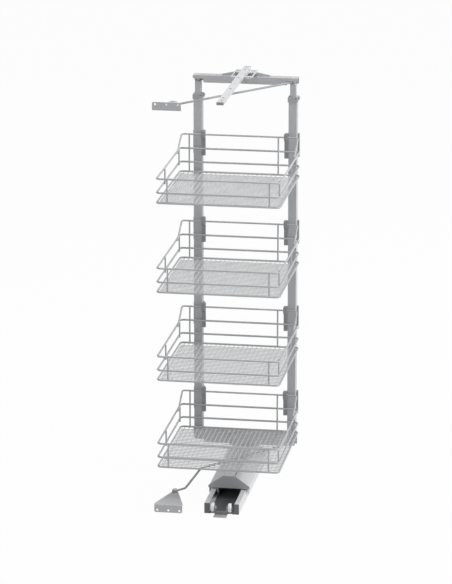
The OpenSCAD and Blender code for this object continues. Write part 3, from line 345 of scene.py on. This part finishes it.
# Base plate: the same phosphate, with painted light on the tongue's front, a light grey that stands in for the
# light falling there. The change from dark to bright is spread over a few millimetres.
PAINTED_LIGHT_GREY = "#b4b5b7"
LIT_FROM_MM, LIT_FULL_MM = -420.0, -428.0

base_steel = coated("phosphated_steel_painted_light_tip", PHOSPHATE, PHOSPHATE_LOW, 1.0, 25.0,
                    rough=0.5, metal=0.3, bump=0.2)
tree = base_steel.node_tree
shader = tree.nodes["Principled BSDF"]
dark = shader.inputs["Base Color"].links[0].from_socket
spot = add(tree, "ShaderNodeSeparateXYZ", {"Vector": add(tree, "ShaderNodeTexCoord").outputs["Object"]})
# Painted light: towards the front, the tone is blended by position to a light grey.
lit_front = add(tree, "ShaderNodeMapRange",
           {"Value": spot.outputs["Y"], "From Min": LIT_FROM_MM * MM, "From Max": LIT_FULL_MM * MM})
tone = add(tree, "ShaderNodeMix",
           {"Factor": lit_front.outputs["Result"], "A": dark, "B": linear(PAINTED_LIGHT_GREY)}, data_type="RGBA")
tree.links.new(tone.outputs["Result"], shader.inputs["Base Color"])
finish_with(base_steel, ["runner_base"])
soften(["runner_base"], 0.4)


# Basket hangers, guide rollers and stops: injection moulded grey plastic with a fine spark
# eroded texture from the mould, clipped or pressed on without tools.
MOULDED, MOULDED_LOW = "#9c9da1", "#949599"

moulded = coated("moulded_grey_plastic", MOULDED, MOULDED_LOW, 0.7, 30.0,
                 rough=0.48, metal=0.0, bump=0.2)
hangers = [f"{side}_hanger_{n}" for side in ("left", "right") for n in (1, 2, 3, 4)]
finish_with(moulded, hangers + ["tube_glides", "front_guide_roller", "rear_guide_roller", "ceiling_rail_stops"])
soften(hangers + ["ceiling_rail_stops"], 0.8)


# End caps of the floor tracks: the same moulding in a darker grey, pushed into the open ends.
# They stop the carriage and hide the cut edges of the aluminium.
CAP_GREY, CAP_GREY_LOW = "#6c6d70", "#646568"

dark_moulded = coated("moulded_dark_grey_plastic", CAP_GREY, CAP_GREY_LOW, 0.7, 30.0,
                      rough=0.48, metal=0.0, bump=0.2)
finish_with(dark_moulded, ["track_end_caps"])
soften(["track_end_caps"], 0.8)


# Collars on the posts and end caps of the hood: the same moulding, but in a lighter silver
# grey close to the coated steel beside it.
SILVER_PLASTIC, SILVER_PLASTIC_LOW = "#b0b1b4", "#a9aaad"

silver_plastic = coated("moulded_silver_plastic", SILVER_PLASTIC, SILVER_PLASTIC_LOW, 0.7, 30.0,
                        rough=0.48, metal=0.0, bump=0.2)
finish_with(silver_plastic, ["hood_front_cap", "hood_rear_cap", "left_collar", "right_collar"])
soften(["hood_front_cap", "hood_rear_cap", "left_collar", "right_collar"], 0.8)


# Front rollers, carriage rollers and guide shoes: moulded white nylon, smooth and slightly
# translucent looking.
NYLON, NYLON_LOW = "#f0f0ee", "#e9e9e7"

nylon = coated("moulded_white_nylon", NYLON, NYLON_LOW, 1.5, 12.0, rough=0.35, metal=0.0, bump=0.05)
finish_with(nylon, ["front_rollers", "carriage_rollers", "guide_shoes"])


# Studio: a white sweep under the frame, a soft lamp on the right, a wide weak one in front,
# one straight above, and an even white surround.
FLOOR_HALF_M, FLOOR_Z_MM = 30.0, -0.5
PAPER, FLOOR_GLOW = "#d8d8d8", 0.97
SURROUND = 0.31
LAMPS = (
    ("lamp_right", (4.3, 0.0, 2.35), (0.0, -0.2, 0.4), 1.2, 138.0),
    ("lamp_front", (-0.6, -5.0, 2.2), (0.0, 0.0, 0.6), 3.0, 34.0),
    ("lamp_overhead", (0.0, -0.4, 4.6), (0.0, -0.2, 0.6), 2.5, 80.0),
)


def seen_white(tree):
    """One for rays from the camera or from a glossy surface, nought for light that falls on the frame."""
    path = add(tree, "ShaderNodeLightPath")
    return add(tree, "ShaderNodeMath", {0: path.outputs["Is Camera Ray"], 1: path.outputs["Is Glossy Ray"]},
               operation="MAXIMUM").outputs[0]


corners = [(x * FLOOR_HALF_M, y * FLOOR_HALF_M, FLOOR_Z_MM * MM) for x, y in ((-1, -1), (1, -1), (1, 1), (-1, 1))]
floor_mesh = bpy.data.meshes.new("studio_floor")
floor_mesh.from_pydata(corners, [], [(0, 1, 2, 3)])
floor = bpy.data.objects.new("studio_floor", floor_mesh)
bpy.context.scene.collection.objects.link(floor)

paper, tree, shader, place = material("white_studio_paper")
shader.inputs["Base Color"].default_value = linear(PAPER)
shader.inputs["Roughness"].default_value = 0.9
share = add(tree, "ShaderNodeMath", {0: seen_white(tree), 1: FLOOR_GLOW}, operation="MULTIPLY")
white = add(tree, "ShaderNodeEmission", {"Color": linear("#ffffff"), "Strength": 1.0})
both = add(tree, "ShaderNodeMixShader", {0: share.outputs[0], 1: shader.outputs[0], 2: white.outputs[0]})
tree.links.new(both.outputs[0], tree.nodes["Material Output"].inputs["Surface"])
floor_mesh.materials.append(paper)

world = bpy.data.worlds.new("studio_surround")
world.use_nodes = True
bpy.context.scene.world = world
tree = world.node_tree
level = add(tree, "ShaderNodeMapRange", {"Value": seen_white(tree), "To Min": SURROUND, "To Max": 1.0})
tree.links.new(level.outputs["Result"], tree.nodes["Background"].inputs["Strength"])
tree.nodes["Background"].inputs["Color"].default_value = linear("#ffffff")

for name, place_m, aim_m, size_m, watts in LAMPS:
    lamp = bpy.data.lights.new(name, "AREA")
    lamp.size = size_m
    lamp.energy = watts
    holder = bpy.data.objects.new(name, lamp)
    holder.location = place_m
    toward = [a - p for a, p in zip(aim_m, place_m)]
    flat = math.hypot(toward[0], toward[1])
    holder.rotation_euler = (math.atan2(flat, -toward[2]), 0.0, math.atan2(toward[1], toward[0]) - math.pi / 2)
    bpy.context.scene.collection.objects.link(holder)

bpy.context.scene.view_settings.view_transform = "Standard"
